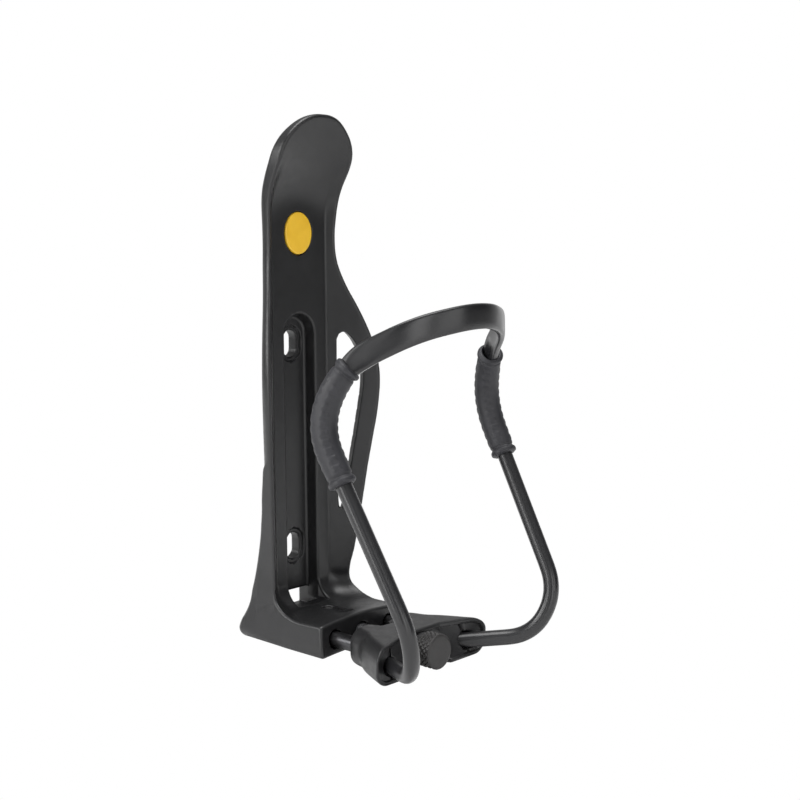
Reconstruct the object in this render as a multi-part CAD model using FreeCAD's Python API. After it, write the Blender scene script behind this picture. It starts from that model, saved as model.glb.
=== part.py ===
import FreeCAD, Part
import math
import os

# Bicycle bottle cage with an adjustable holding width.
#
# Row frame: origin midway between the two frame bolt slots, on the rear
# mounting face.  +X is the cage's left-right direction, +Y points back to
# the bicycle frame, +Z is up along the bottle.
#
# The geometry below is written with y = 0 on the floor of the spine's
# channel; everything is moved back by PLATE_SEAT when it is exported, so
# that y = 0 is the rear mounting face.

os.makedirs("parts", exist_ok=True)
VEC = FreeCAD.Vector

# ---------------------------------------------------------------- dimensions
PLATE_SEAT = 4.3        # channel floor to rear mounting face
SLOT_SPACING = 64.0     # frame bolt bosses
SLOT_LEN = 8.4          # slot, end to end
SLOT_W = 5.4            # slot width, clears an M5 bolt
TRAY_Y = -4.0           # front face of the spine
TRAY_HALF = 11.2        # half width of the flat front face
LIP_X, LIP_Y = 13.5, -6.9   # where the side wings leave the spine
WING_SLOPE = 0.957      # forward rake of the wings
WALL_Y = 4.0            # wing wall measured along Y
CH_HALF = 6.6           # channel half width at the front face
CH_FLOOR_HALF = 5.8     # channel half width at its floor
CH_TOP = 40.0           # top of the channel
FOOT_Z0, FOOT_Z1 = -58.3, -49.2
FOOT_HALF = 17.7
FOOT_FRONT = -29.7
POST_X, POST_Z = 11.7, -53.7
POST_R = 2.3
BORE_R = 2.38           # running fit on the posts
MOUTH_R = 2.9           # relieved mouth of each guide bore
SCREW_R = 2.5           # M5
INSERT_BORE_R = 2.55
INSERT_R = 3.1
BLOCK_REAR, BLOCK_FRONT = -38.0, -53.4
BLOCK_Z0, BLOCK_Z1 = -59.8, -48.6
KNOB_R, KNOB_BACK, KNOB_FRONT = 5.2, -55.4, -60.9
SCREW_Z = -54.0
PANEL_Y = -52.8         # recessed front panel of the slider block
CLIP_Y0, CLIP_Y1 = -41.35, -40.55   # retaining clip on the screw
TUBE_R = 2.3
BAND_T, BAND_H = 2.4, 7.0
SLEEVE_R = 3.75


# ---------------------------------------------------------------- helpers
def face_xy(pts, z):
    p = [VEC(x, y, z) for x, y in pts]
    return Part.Face(Part.makePolygon(p + [p[0]]))


def prism_z(pts, z0, z1):
    return face_xy(pts, z0).extrude(VEC(0, 0, z1 - z0))


def prism_y(pts, y0, y1):
    """pts are (x, z)."""
    p = [VEC(x, y0, z) for x, z in pts]
    return Part.Face(Part.makePolygon(p + [p[0]])).extrude(VEC(0, y1 - y0, 0))


def prism_x(pts, x0, x1):
    """pts are (y, z)."""
    p = [VEC(x0, y, z) for y, z in pts]
    return Part.Face(Part.makePolygon(p + [p[0]])).extrude(VEC(x1 - x0, 0, 0))


def cyl(r, p0, p1):
    a, b = VEC(*p0), VEC(*p1)
    d = b - a
    return Part.makeCylinder(r, d.Length, a, d)


def fuse(*s):
    out = s[0].multiFuse(list(s[1:]))
    return out.removeSplitter()


def mirror_x(s):
    return s.mirror(VEC(0, 0, 0), VEC(1, 0, 0))


def box(x0, x1, y0, y1, z0, z1):
    return Part.makeBox(x1 - x0, y1 - y0, z1 - z0, VEC(x0, y0, z0))


def one_solid(s, name):
    sol = s.Solids
    sol = sorted(sol, key=lambda q: -q.Volume)
    if len(sol) > 1:
        print("NOTE", name, "has", len(sol), "solids", [round(q.Volume, 2) for q in sol])
    return sol[0]


def smooth_path(verts, radii):
    """Straight runs joined by tangent arcs; returns a wire and the arcs' radii."""
    vs = [VEC(*v) for v in verts]
    edges, used = [], []
    last = vs[0]
    for i in range(1, len(vs) - 1):
        a = vs[i - 1] - vs[i]
        b = vs[i + 1] - vs[i]
        la, lb = a.Length, b.Length
        a = a * (1.0 / la)
        b = b * (1.0 / lb)
        turn = math.pi - math.acos(max(-1.0, min(1.0, a.dot(b))))
        t = radii[i - 1] * math.tan(turn / 2)
        t = min(t, 0.47 * la, 0.47 * lb)
        r = t / math.tan(turn / 2)
        used.append(round(r, 2))
        p, q = vs[i] + a * t, vs[i] + b * t
        bis = a + b
        bis = bis * (1.0 / bis.Length)
        cen = vs[i] + bis * (r / math.cos(turn / 2))
        mid = cen - bis * r
        edges.append(Part.LineSegment(last, p).toShape())
        edges.append(Part.Arc(p, mid, q).toShape())
        last = q
    edges.append(Part.LineSegment(last, vs[-1]).toShape())
    return Part.Wire(edges), used


def sweep(wire, profile_r):
    e = wire.Edges[0]
    p = e.valueAt(e.FirstParameter)
    t = e.tangentAt(e.FirstParameter)
    c = Part.Wire(Part.Circle(p, t, profile_r).toShape())
    return wire.makePipeShell([c], True, False)


def export(name, shape):
    s = shape.copy()
    s.translate(VEC(0, -PLATE_SEAT, 0))
    s.exportStep("parts/%s.step" % name)
    bb = s.BoundBox
    print("%-20s vol %9.2f valid %s solids %d  x %.1f..%.1f y %.1f..%.1f z %.1f..%.1f" % (
        name, s.Volume, s.isValid(), len(s.Solids), bb.XMin, bb.XMax, bb.YMin, bb.YMax, bb.ZMin, bb.ZMax))


# ---------------------------------------------------------------- back plate
# Outline of the spine and wings seen from the front: z, half width.
OUTLINE = [(-50.0, 17.7), (-45.0, 17.5), (-40.0, 17.3), (-34.0, 17.4), (-26.0, 18.1), (-20.0, 18.8),
           (-12.4, 19.6), (-7.2, 20.2), (-2.0, 20.9), (3.2, 21.6), (8.3, 22.3), (13.4, 22.8),
           (18.5, 23.0), (23.6, 22.9), (28.7, 22.2), (33.8, 21.2), (38.8, 19.7), (43.9, 17.8),
           (48.9, 15.8), (53.9, 14.2), (58.0, 13.4), (62.0, 13.1), (66.3, 13.1), (71.1, 13.5),
           (75.9, 14.3), (80.7, 15.1), (85.4, 15.5), (90.0, 14.9), (94.0, 12.9), (97.3, 9.8),
           (99.6, 6.3), (100.6, 3.0), (100.8, 0.0)]
# Opening in the right wing, seen from the front: x, z.
OPENING = [(13.8, 33.2), (14.3, 34.6), (15.6, 35.1), (17.0, 33.8), (18.4, 31.2), (19.4, 27.6),
           (20.0, 22.8), (20.0, 18.3), (19.5, 13.2), (18.9, 8.1), (18.3, 3.0), (17.6, -2.2),
           (17.2, -5.0), (16.3, -11.0), (15.4, -17.0), (14.9, -20.2), (14.3, -21.0), (13.8, -20.0)]


def lerp(tab, z):
    for (a, va), (b, vb) in zip(tab, tab[1:]):
        if a <= z <= b:
            return va + (vb - va) * (z - a) / (b - a)
    return tab[0][1] if z < tab[0][0] else tab[-1][1]


Y_CENTRE = [(66, -4.0), (70, -4.0), (74, -4.3), (78, -5.2), (82, -6.8), (86, -8.9), (90, -11.2),
            (94, -13.3), (98, -15.2), (102, -17.0)]
Y_EDGE = [(66, -6.8), (70, -7.1), (74, -7.4), (78, -8.2), (82, -9.7), (86, -11.3), (90, -12.8),
          (94, -14.2), (98, -15.6), (102, -17.1)]
STATIONS = [0.0, 6.0, TRAY_HALF, LIP_X, 18.0, 28.0]


def tray_front(x):
    if x <= TRAY_HALF:
        return TRAY_Y
    if x <= LIP_X:
        return TRAY_Y + (LIP_Y - TRAY_Y) * (x - TRAY_HALF) / (LIP_X - TRAY_HALF)
    return LIP_Y - WING_SLOPE * (x - LIP_X)


def section(z):
    s = min(1.0, max(0.0, (z - 68.0) / 20.0))
    s = s * s * (3 - 2 * s)
    yc, ye = lerp(Y_CENTRE, z), lerp(Y_EDGE, z)
    front, rear = [], []
    for x in STATIONS:
        spoon = yc + (ye - yc) * (x / 15.0) ** 2
        if z <= 68.0:
            y = tray_front(x)
        else:
            y = (1 - s) * tray_front(x) + s * max(spoon, ye - 3.0)
        t = 3.0 if x <= TRAY_HALF else WALL_Y
        t = (1 - s) * t + s * 3.8
        front.append((x, y))
        rear.append((x, y + t))
    # closed ring: front from left to right, rear from right to left
    fr = [(-x, y) for x, y in front[::-1] if x > 0] + front
    rr = rear[::-1] + [(-x, y) for x, y in rear if x > 0]
    return fr + rr


def outline_solid():
    half = OUTLINE[:-1]
    top = OUTLINE[-1]
    right = [VEC(x, -60, z) for z, x in half]
    pts = right + [VEC(0, -60, top[0])] + [VEC(-v.x, v.y, v.z) for v in right[::-1]]
    c = Part.BSplineCurve()
    c.interpolate(pts)
    base = Part.makePolygon([pts[-1], VEC(-OUTLINE[0][1], -60, -58.3), VEC(OUTLINE[0][1], -60, -58.3), pts[0]])
    w = Part.Wire([c.toShape()] + base.Edges)
    return Part.Face(w).extrude(VEC(0, 80, 0))


def foot_fillet(r=7.0):
    """Concave fillet solids where the tray meets the foot's floor."""
    def ring(x):
        y0 = tray_front(abs(x))
        arc = [(y0 - r + r * math.cos(a), FOOT_Z1 + r - r * math.sin(a))
               for a in [math.pi / 2 * i / 8 for i in range(9)]]
        pts = arc + [(y0 - r, FOOT_Z1 - 0.6), (y0 + 1.2, FOOT_Z1 - 0.6), (y0 + 1.2, FOOT_Z1 + r)]
        p = [VEC(x, y, z) for y, z in pts]
        return Part.makePolygon(p + [p[0]])
    out = [Part.makeLoft([ring(-TRAY_HALF), ring(TRAY_HALF)], True, True)]
    for sx in (1, -1):
        out.append(Part.makeLoft([ring(sx * TRAY_HALF), ring(sx * LIP_X)], True, True))
        out.append(Part.makeLoft([ring(sx * LIP_X), ring(sx * 17.3)], True, True))
    return out


def make_back_plate():
    # pressed tray, straight up to the neck, then bent forward into the paddle
    straight = prism_z(section(60.0), FOOT_Z0, 68.0)
    zs = [68.0, 71.0, 74.0, 77.0, 80.0, 84.0, 88.0, 92.0, 96.0, 102.0]
    wires = []
    for z in zs:
        p = [VEC(x, y, z) for x, y in section(z)]
        wires.append(Part.makePolygon(p + [p[0]]))
    paddle = Part.makeLoft(wires, True, False)
    body = fuse(straight, paddle)
    # bolting spine behind the tray: carries the channel floor
    spine = fuse(box(-8.8, 8.8, -2.0, 3.0, -52.0, CH_TOP - CH_HALF),
                 cyl(8.8, (0, -2.0, CH_TOP - CH_HALF), (0, 3.0, CH_TOP - CH_HALF)))
    pads = []
    for zc in (-SLOT_SPACING / 2, SLOT_SPACING / 2):
        pads.append(fuse(box(-7.0, 7.0, 0.0, PLATE_SEAT, zc - 3.5, zc + 3.5),
                         cyl(7.0, (0, 0.0, zc - 3.5), (0, PLATE_SEAT, zc - 3.5)),
                         cyl(7.0, (0, 0.0, zc + 3.5), (0, PLATE_SEAT, zc + 3.5))))
    body = fuse(body, spine, *pads)
    # lower side walls behind the wings
    walls = []
    yr = [(-1.5, -11.5), (-3.6, -9.0), (-12.4, -7.0), (-17.6, -6.2), (-26.0, -4.1), (-34.0, -1.6), (-40.0, 0.2),
          (-45.0, 1.6), (-50.0, 3.0), (-54.0, 4.3), (FOOT_Z0, 4.3)]
    prof = [(y, z) for z, y in yr] + [(-10.2, FOOT_Z0), (-10.2, -34.0), (-12.0, -17.6), (-13.4, -4.0)]
    for sx in (1, -1):
        w = prism_x(prof, sx * 14.4, sx * 19.8)
        walls.append(w)
    cut_front = prism_z([(0, -40), (28, -40), (28, tray_front(28)), (LIP_X, LIP_Y), (0, LIP_Y)], -60, 40)
    walls = [w.cut(cut_front if i == 0 else mirror_x(cut_front)) for i, w in enumerate(walls)]
    body = fuse(body, *walls)
    body = body.common(outline_solid())
    # foot: floor, cheeks, front wall, bosses; hollow underneath
    foot = box(-FOOT_HALF, FOOT_HALF, FOOT_FRONT, -1.0, FOOT_Z0, FOOT_Z1)
    heel = box(-FOOT_HALF, FOOT_HALF, -4.0, PLATE_SEAT, FOOT_Z0, -52.0)
    body = fuse(body, foot, heel)
    # concave fillet between the plate and the floor, following the tray
    body = fuse(body, *foot_fillet())
    # front top bevel of the foot, rounded vertical corners
    bev = prism_x([(-24.5, FOOT_Z1 + 0.01), (-30.5, FOOT_Z1 + 0.01), (-30.5, FOOT_Z1 - 1.3)], -20, 20)
    body = body.cut(bev)
    for sx in (1, -1):
        body = body.cut(prism_z([(sx * 18.0, -30.0), (sx * 16.3, -30.0), (sx * 18.0, -28.3)], -60, -40))
    # underside pocket, with round bosses along the guide bores and the screw
    pocket = box(-15.0, 15.0, FOOT_FRONT + 4.0, -6.0, FOOT_Z0 - 1, -51.6)
    for sx in (1, -1):
        pocket = pocket.cut(cyl(3.9, (sx * POST_X, FOOT_FRONT, POST_Z), (sx * POST_X, 0.0, POST_Z)))
    pocket = pocket.cut(cyl(4.3, (0, FOOT_FRONT, SCREW_Z), (0, -12.5, SCREW_Z)))
    body = body.cut(pocket)
    # channel
    ch = Part.makeLoft([
        Part.makePolygon([VEC(-CH_HALF, TRAY_Y - 0.02, -49.0), VEC(CH_HALF, TRAY_Y - 0.02, -49.0), VEC(CH_HALF, TRAY_Y - 0.02, CH_TOP - CH_HALF),
                          VEC(-CH_HALF, TRAY_Y - 0.02, CH_TOP - CH_HALF), VEC(-CH_HALF, TRAY_Y - 0.02, -49.0)]),
        Part.makePolygon([VEC(-CH_FLOOR_HALF, 0, -49.0), VEC(CH_FLOOR_HALF, 0, -49.0), VEC(CH_FLOOR_HALF, 0, CH_TOP - CH_HALF),
                          VEC(-CH_FLOOR_HALF, 0, CH_TOP - CH_HALF), VEC(-CH_FLOOR_HALF, 0, -49.0)])], True, True)
    chtop = Part.makeCone(CH_HALF, CH_FLOOR_HALF, -TRAY_Y + 0.02, VEC(0, TRAY_Y - 0.02, CH_TOP - CH_HALF), VEC(0, 1, 0))
    notch = box(-CH_HALF, CH_HALF, -12.0, TRAY_Y + 0.01, FOOT_Z1, -38.0)
    body = body.cut(ch).cut(chtop).cut(notch)
    # window at the foot of the channel
    win = prism_x([(-4.6, FOOT_Z1), (-1.0, -46.4), (10.0, -46.4), (10.0, -53.0), (PLATE_SEAT, -51.6)], -5.6, 5.6)
    body = body.cut(win)
    # frame bolt slots
    for zc in (-SLOT_SPACING / 2, SLOT_SPACING / 2):
        h = SLOT_LEN / 2 - SLOT_W / 2
        slot = fuse(box(-SLOT_W / 2, SLOT_W / 2, -2, 8, zc - h, zc + h),
                    cyl(SLOT_W / 2, (0, -2, zc - h), (0, 8, zc - h)), cyl(SLOT_W / 2, (0, -2, zc + h), (0, 8, zc + h)))
        body = body.cut(slot)
    # wing openings
    o = prism_y(OPENING, -40, 20)
    body = body.cut(o).cut(mirror_x(o))
    # badge recess
    body = body.cut(badge_shape(0.0, 1.0, 0.0))
    # guide bores with relieved mouths, and the insert's seat
    for sx in (1, -1):
        body = body.cut(cyl(BORE_R, (sx * POST_X, FOOT_FRONT - 1, POST_Z), (sx * POST_X, -6.0, POST_Z)))
        body = body.cut(cyl(MOUTH_R, (sx * POST_X, FOOT_FRONT - 1, POST_Z), (sx * POST_X, FOOT_FRONT + 2.5, POST_Z)))
    body = body.cut(cyl(INSERT_R, (0, FOOT_FRONT - 1, SCREW_Z), (0, -19.7, SCREW_Z)))
    body = body.cut(cyl(2.9, (0, -20.0, SCREW_Z), (0, -9.5, SCREW_Z)))
    return one_solid(body, "back_plate")


BADGE_Z, BADGE_RX, BADGE_RZ = 66.0, 5.6, 6.6


def badge_shape(grow, depth, proud):
    """Plain oval inlay on the spine above the channel."""
    y0 = TRAY_Y - proud - (0.5 if proud == 0.0 else 0.0)
    n = 24
    pts = []
    for i in range(n):
        a = 2 * math.pi * i / n
        ca, sa = math.cos(a), math.sin(a)
        pts.append(((BADGE_RX + grow) * ca, BADGE_Z + (BADGE_RZ + grow) * sa))
    return prism_y(pts, y0, TRAY_Y + depth)


def make_badge():
    return badge_shape(0.0, 1.0, 0.25)


# ---------------------------------------------------------------- cage tube
SOCKET = (18.4, -60.1, -54.5)
RUN = (26.8, -74.2, -52.4)
_d = [RUN[i] - SOCKET[i] for i in range(3)]
_l = math.sqrt(sum(c * c for c in _d))
RUN_DIR = tuple(c / _l for c in _d)
TUBE_END = tuple(SOCKET[i] - RUN_DIR[i] * 11.0 for i in range(3))
LEG = [TUBE_END, RUN, (32.0, -78.5, -39.2), (35.6, -48.35, 14.3), (30.8, -54.1, 30.8), (18.7, -69.0, 40.1), (0.0, -77.2, 43.95)]
RAD = [14.0, 20.0, 21.9, 24.5, 28.0, 38.1]


def tube_wire():
    right = LEG
    left = [(-x, y, z) for x, y, z in LEG[:-1]][::-1]
    w, used = smooth_path(right + left, RAD + RAD[:-1][::-1])
    return w, used


def sub_wire(w, s0, s1):
    """Edges of the wire between two distances along it, cut where needed."""
    out, s = [], 0.0
    for e in w.OrderedEdges:
        L = e.Length
        a, b = max(s0, s), min(s1, s + L)
        if b - a > 1e-6:
            f, l = e.FirstParameter, e.LastParameter
            rev = e.Orientation == "Reversed"
            t0, t1 = (a - s) / L, (b - s) / L
            if rev:
                t0, t1 = 1 - t1, 1 - t0
            out.append(e.Curve.toShape(f + (l - f) * t0, f + (l - f) * t1))
        s += L
    return Part.Wire(out)


def make_tube():
    w, used = tube_wire()
    print("tube bend radii", used, "length %.1f" % w.Length)
    L = w.Length
    # distance along the tube where the flat band begins: where the leg
    # passes the sleeve's upper end
    s_flat = s_at(w, FLAT_START)
    legs = []
    a = sweep(sub_wire(w, 0.0, s_flat), TUBE_R)
    b = mirror_x(a)
    # band: rectangular strap following the middle of the wire
    band = band_solid(w, s_flat, L - s_flat)
    t = fuse(a, b, band)
    print("tube volume %.0f, section times length %.0f" % (t.Volume, math.pi * TUBE_R ** 2 * L))
    return one_solid(t, "cage_tube")


FLAT_START = (29.3, -56.6, 32.0)


def s_at(w, p):
    q = VEC(*p)
    best, bs, s = 1e9, 0.0, 0.0
    for e in w.OrderedEdges:
        n = 40
        f, l = e.FirstParameter, e.LastParameter
        rev = e.Orientation == "Reversed"
        for i in range(n + 1):
            u = i / n
            par = f + (l - f) * ((1 - u) if rev else u)
            d = (e.valueAt(par) - q).Length
            if d < best:
                best, bs = d, s + u * e.Length
        s += e.Length
    return bs


def point_at(w, s):
    acc = 0.0
    es = w.OrderedEdges
    for k, e in enumerate(es):
        if s <= acc + e.Length + 1e-9 or k == len(es) - 1:
            u = (s - acc) / e.Length
            f, l = e.FirstParameter, e.LastParameter
            rev = e.Orientation == "Reversed"
            par = f + (l - f) * ((1 - u) if rev else u)
            t = e.tangentAt(par)
            if rev:
                t = t * -1.0
            return e.valueAt(par), t
        acc += e.Length


def band_solid(w, s0, s1):
    """Flattened front of the tube: lofted strap sections, tall and thin,
    that grow out of the round tube at both ends."""
    n = 19
    wires = []
    for i in range(n):
        s = s0 - 2.5 + (s1 - s0 + 5.0) * i / (n - 1)
        p, t = point_at(w, s)
        e = min(1.0, min(i, n - 1 - i) / 2.5)
        e = e * e * (3 - 2 * e)
        hh = TUBE_R * 0.96 + (BAND_H / 2 - TUBE_R * 0.96) * e
        ht = TUBE_R * 0.96 + (BAND_T / 2 - TUBE_R * 0.96) * e
        up = VEC(0, 0, 1)
        up = up - t * up.dot(t)
        up.normalize()
        out = t.cross(up)
        out.normalize()
        m = 16
        pts = []
        for k in range(m):
            a = 2 * math.pi * k / m
            ca, sa = math.cos(a), math.sin(a)
            # superellipse: round at the ends, flat along the band
            pw = 1.0 - 0.55 * e
            px = (abs(ca) ** pw) * (1 if ca >= 0 else -1)
            pz = (abs(sa) ** pw) * (1 if sa >= 0 else -1)
            pts.append(p + out * (ht * px) + up * (hh * pz))
        c = Part.BSplineCurve()
        c.interpolate(pts, True)
        wires.append(Part.Wire(c.toShape()))
    return Part.makeLoft(wires, True, False)


def make_sleeve():
    """Rubber sleeve round the bend between leg and band, right side."""
    w, _ = tube_wire()
    s0 = s_at(w, (34.7, -56.9, -0.6))
    s1 = s_at(w, (30.5, -55.1, 29.0))
    outer = sweep(sub_wire(w, s0, s1), SLEEVE_R)
    inner = sweep(sub_wire(w, s0 - 1.0, s1 + 1.0), TUBE_R)
    body = outer.cut(inner)
    return one_solid(body, "grip_sleeve")


# ---------------------------------------------------------------- slider block
def six_sided(top, bot):
    t, b = [VEC(*p) for p in top], [VEC(*p) for p in bot]
    loops = [t, b[::-1]] + [[t[i], b[i], b[(i + 1) % 4], t[(i + 1) % 4]] for i in range(4)]
    faces = [Part.Face(Part.makePolygon(l + [l[0]])) for l in loops]
    solid = Part.Solid(Part.Shell(faces))
    if solid.Volume < 0:
        solid.reverse()
    return solid


def make_slider():
    dx, dy = RUN_DIR[0], RUN_DIR[1]
    l = math.hypot(dx, dy)
    dx, dy = dx / l, dy / l
    arms = []
    for sx in (1, -1):
        # arm plan: outer edge splayed, long outer edges rounded like a barrel
        pts = [(14.1 - 8.0 * 0.48, BLOCK_REAR + 8.0), (24.0 + 4.0 * 0.48, -58.6 - 4.0), (5.0, -58.6 - 4.0), (2.0, BLOCK_REAR + 8.0)]
        arm = prism_z(pts, BLOCK_Z0, BLOCK_Z1)
        es = []
        for e in arm.Edges:
            c = e.CenterOfMass
            tz = abs(e.tangentAt(e.FirstParameter).z)
            if e.Length > 20 and c.x > 14.0 and tz < 0.1:
                es.append(e)
        arm = arm.makeFillet(4.6, es)
        if sx < 0:
            arm = mirror_x(arm)
        arms.append(arm)
    web = prism_z([(-9.0, BLOCK_REAR), (9.0, BLOCK_REAR), (12.0, -50.0), (11.0, BLOCK_FRONT), (-11.0, BLOCK_FRONT), (-12.0, -50.0)],
                  BLOCK_Z0, BLOCK_Z1)
    body = fuse(arms[0], arms[1], web)
    keep = prism_z([(-30, BLOCK_REAR), (30, BLOCK_REAR), (30, -58.6), (8.8, -58.6), (6.4, BLOCK_FRONT), (-6.4, BLOCK_FRONT),
                    (-8.8, -58.6), (-30, -58.6)], -70, -40)
    body = body.common(keep)
    # the arms' front faces lean: set back at the top, forward at the bottom
    wedge = six_sided([(6.0, -52.4, -48.0), (36.0, -63.2, -48.0), (36.0, -75.0, -48.0), (6.0, -75.0, -48.0)],
                      [(6.0, -55.6, -60.5), (36.0, -66.4, -60.5), (36.0, -75.0, -60.5), (6.0, -75.0, -60.5)])
    body = body.cut(wedge).cut(mirror_x(wedge))
    # recessed front panel and scooped rear edge
    body = body.cut(prism_z([(-6.2, BLOCK_FRONT - 1), (6.2, BLOCK_FRONT - 1), (6.2, PANEL_Y), (-6.2, PANEL_Y)],
                            BLOCK_Z0 + 1.9, BLOCK_Z1 - 1.9))
    body = body.cut(cyl(14.0, (-0.0, BLOCK_REAR + 1.2, BLOCK_Z1 + 12.6), (0.0, BLOCK_REAR - 4.6, BLOCK_Z1 + 12.6)))
    # tube sockets with split slots, post seats, screw hole, clip pocket
    w, _ = tube_wire()
    for sx in (1, -1):
        far = tuple(SOCKET[i] + RUN_DIR[i] * 6.0 for i in range(3))
        s = cyl(TUBE_R, TUBE_END, far)
        m = cyl(TUBE_R + 0.45, tuple(SOCKET[i] - RUN_DIR[i] * 4.4 for i in range(3)), far)
        slot = box(-0.45, 0.45, -8.0, 8.0, -3.9, 3.9)
        slot.rotate(VEC(0, 0, 0), VEC(0, 0, 1), math.degrees(math.atan2(dx, -dy)))
        slot.translate(VEC(SOCKET[0] + dx * 1.5, SOCKET[1] + dy * 1.5, SOCKET[2]))
        s = fuse(s, m, slot)
        body = body.cut(s if sx > 0 else mirror_x(s))
        body = body.cut(cyl(POST_R, (sx * POST_X, BLOCK_REAR + 1, POST_Z), (sx * POST_X, BLOCK_REAR - 5.5, POST_Z)))
    body = body.cut(cyl(2.75, (0, BLOCK_REAR + 1, SCREW_Z), (0, -60, SCREW_Z)))
    body = body.cut(cyl(4.6, (0, BLOCK_REAR + 1, SCREW_Z), (0, BLOCK_REAR - 3.4, SCREW_Z)))
    return one_solid(body, "slider_block")


# ---------------------------------------------------------------- adjuster
def make_post(sx):
    s = cyl(POST_R, (sx * POST_X, BLOCK_REAR - 5.5, POST_Z), (sx * POST_X, -11.6, POST_Z))
    tip = [e for e in s.Edges if e.BoundBox.YMin > -11.7 and e.Length > 5]
    return s.makeChamfer(0.6, tip)


def make_knob():
    k = cyl(KNOB_R, (0, KNOB_BACK, SCREW_Z), (0, KNOB_FRONT, SCREW_Z))
    rim = [e for e in k.Edges if e.Length > 20]
    k = k.makeChamfer(0.45, rim)
    # straight flutes stand for the knurl
    for i in range(24):
        a = 2 * math.pi * i / 24
        c = cyl(0.3, (KNOB_R * math.cos(a), KNOB_BACK + 0.0, SCREW_Z + KNOB_R * math.sin(a)),
                (KNOB_R * math.cos(a), KNOB_FRONT + 0.7, SCREW_Z + KNOB_R * math.sin(a)))
        k = k.cut(c)
    k = k.cut(cyl(SCREW_R, (0, KNOB_BACK + 1, SCREW_Z), (0, KNOB_FRONT + 1.4, SCREW_Z)))
    return one_solid(k, "knob")


def make_screw():
    s = cyl(SCREW_R, (0, KNOB_FRONT + 1.4, SCREW_Z), (0, -15.0, SCREW_Z))
    tip = [e for e in s.Edges if e.BoundBox.YMin > -15.1 and e.Length > 5]
    s = s.makeChamfer(0.5, tip)
    # groove for the retaining clip
    g = cyl(SCREW_R + 1, (0, CLIP_Y0, SCREW_Z), (0, CLIP_Y1, SCREW_Z)).cut(cyl(1.9, (0, CLIP_Y0 - 0.1, SCREW_Z), (0, CLIP_Y1 + 0.1, SCREW_Z)))
    return one_solid(s.cut(g), "screw")


def make_clip():
    c = cyl(4.2, (0, CLIP_Y0, SCREW_Z), (0, CLIP_Y1, SCREW_Z)).cut(cyl(1.9, (0, CLIP_Y0 - 1, SCREW_Z), (0, CLIP_Y1 + 1, SCREW_Z)))
    c = c.cut(box(-1.2, 1.2, CLIP_Y0 - 1, CLIP_Y1 + 1, SCREW_Z - 6, SCREW_Z - 1.0))
    return one_solid(c, "clip")


def make_washer():
    # flange under the knob, with a spigot in the block's recessed panel
    w = fuse(cyl(4.4, (0, KNOB_BACK, SCREW_Z), (0, BLOCK_FRONT - 0.05, SCREW_Z)),
             cyl(3.3, (0, BLOCK_FRONT - 0.5, SCREW_Z), (0, PANEL_Y - 0.05, SCREW_Z)))
    return w.cut(cyl(2.6, (0, KNOB_BACK - 1, SCREW_Z), (0, PANEL_Y + 2, SCREW_Z)))


def make_insert():
    s = cyl(INSERT_R, (0, FOOT_FRONT + 0.6, SCREW_Z), (0, -19.7, SCREW_Z))
    g = cyl(4.5, (0, -25.6, SCREW_Z), (0, -24.2, SCREW_Z)).cut(cyl(INSERT_R - 0.3, (0, -25.7, SCREW_Z), (0, -24.1, SCREW_Z)))
    s = s.cut(g).cut(cyl(INSERT_BORE_R, (0, -40, SCREW_Z), (0, -10, SCREW_Z)))
    return one_solid(s, "insert")


plate = make_back_plate()
export("back_plate", plate)
export("badge", make_badge())
tube = make_tube()
export("cage_tube", tube)
sl = make_sleeve()
export("grip_sleeve_right", sl)
export("grip_sleeve_left", mirror_x(sl))
export("slider_block", make_slider())
export("guide_post_right", make_post(1))
export("guide_post_left", make_post(-1))
export("adjuster_knob", make_knob())
export("adjuster_screw", make_screw())
export("retaining_clip", make_clip())
export("knob_washer", make_washer())
export("threaded_insert", make_insert())
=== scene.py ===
"""Bicycle bottle cage with an adjustable holding width: the visual model.

Lengths in the shape code are millimetres, with y = 0 on the floor of the
spine's channel, and become metres in the row frame when a mesh is made.
"""
import math

import bpy
import numpy as np
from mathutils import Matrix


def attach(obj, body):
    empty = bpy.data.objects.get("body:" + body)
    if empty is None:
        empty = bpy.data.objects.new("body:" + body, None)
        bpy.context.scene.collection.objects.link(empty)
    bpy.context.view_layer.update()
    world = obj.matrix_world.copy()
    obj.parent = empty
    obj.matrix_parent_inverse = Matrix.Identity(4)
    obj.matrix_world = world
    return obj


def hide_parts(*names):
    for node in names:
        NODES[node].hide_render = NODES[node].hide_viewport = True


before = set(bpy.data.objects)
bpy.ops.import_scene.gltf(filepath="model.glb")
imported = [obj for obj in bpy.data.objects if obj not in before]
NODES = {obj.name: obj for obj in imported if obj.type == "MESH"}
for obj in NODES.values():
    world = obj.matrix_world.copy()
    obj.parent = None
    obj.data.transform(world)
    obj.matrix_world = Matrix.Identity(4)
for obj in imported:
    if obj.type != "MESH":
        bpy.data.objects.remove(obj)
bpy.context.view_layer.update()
SEAT = 4.3                      # channel floor to rear mounting face


# ------------------------------------------------------------- mesh helpers
def to_row(co):
    co = np.asarray(co, float).copy()
    co[:, 1] -= SEAT
    return co * 0.001


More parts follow.
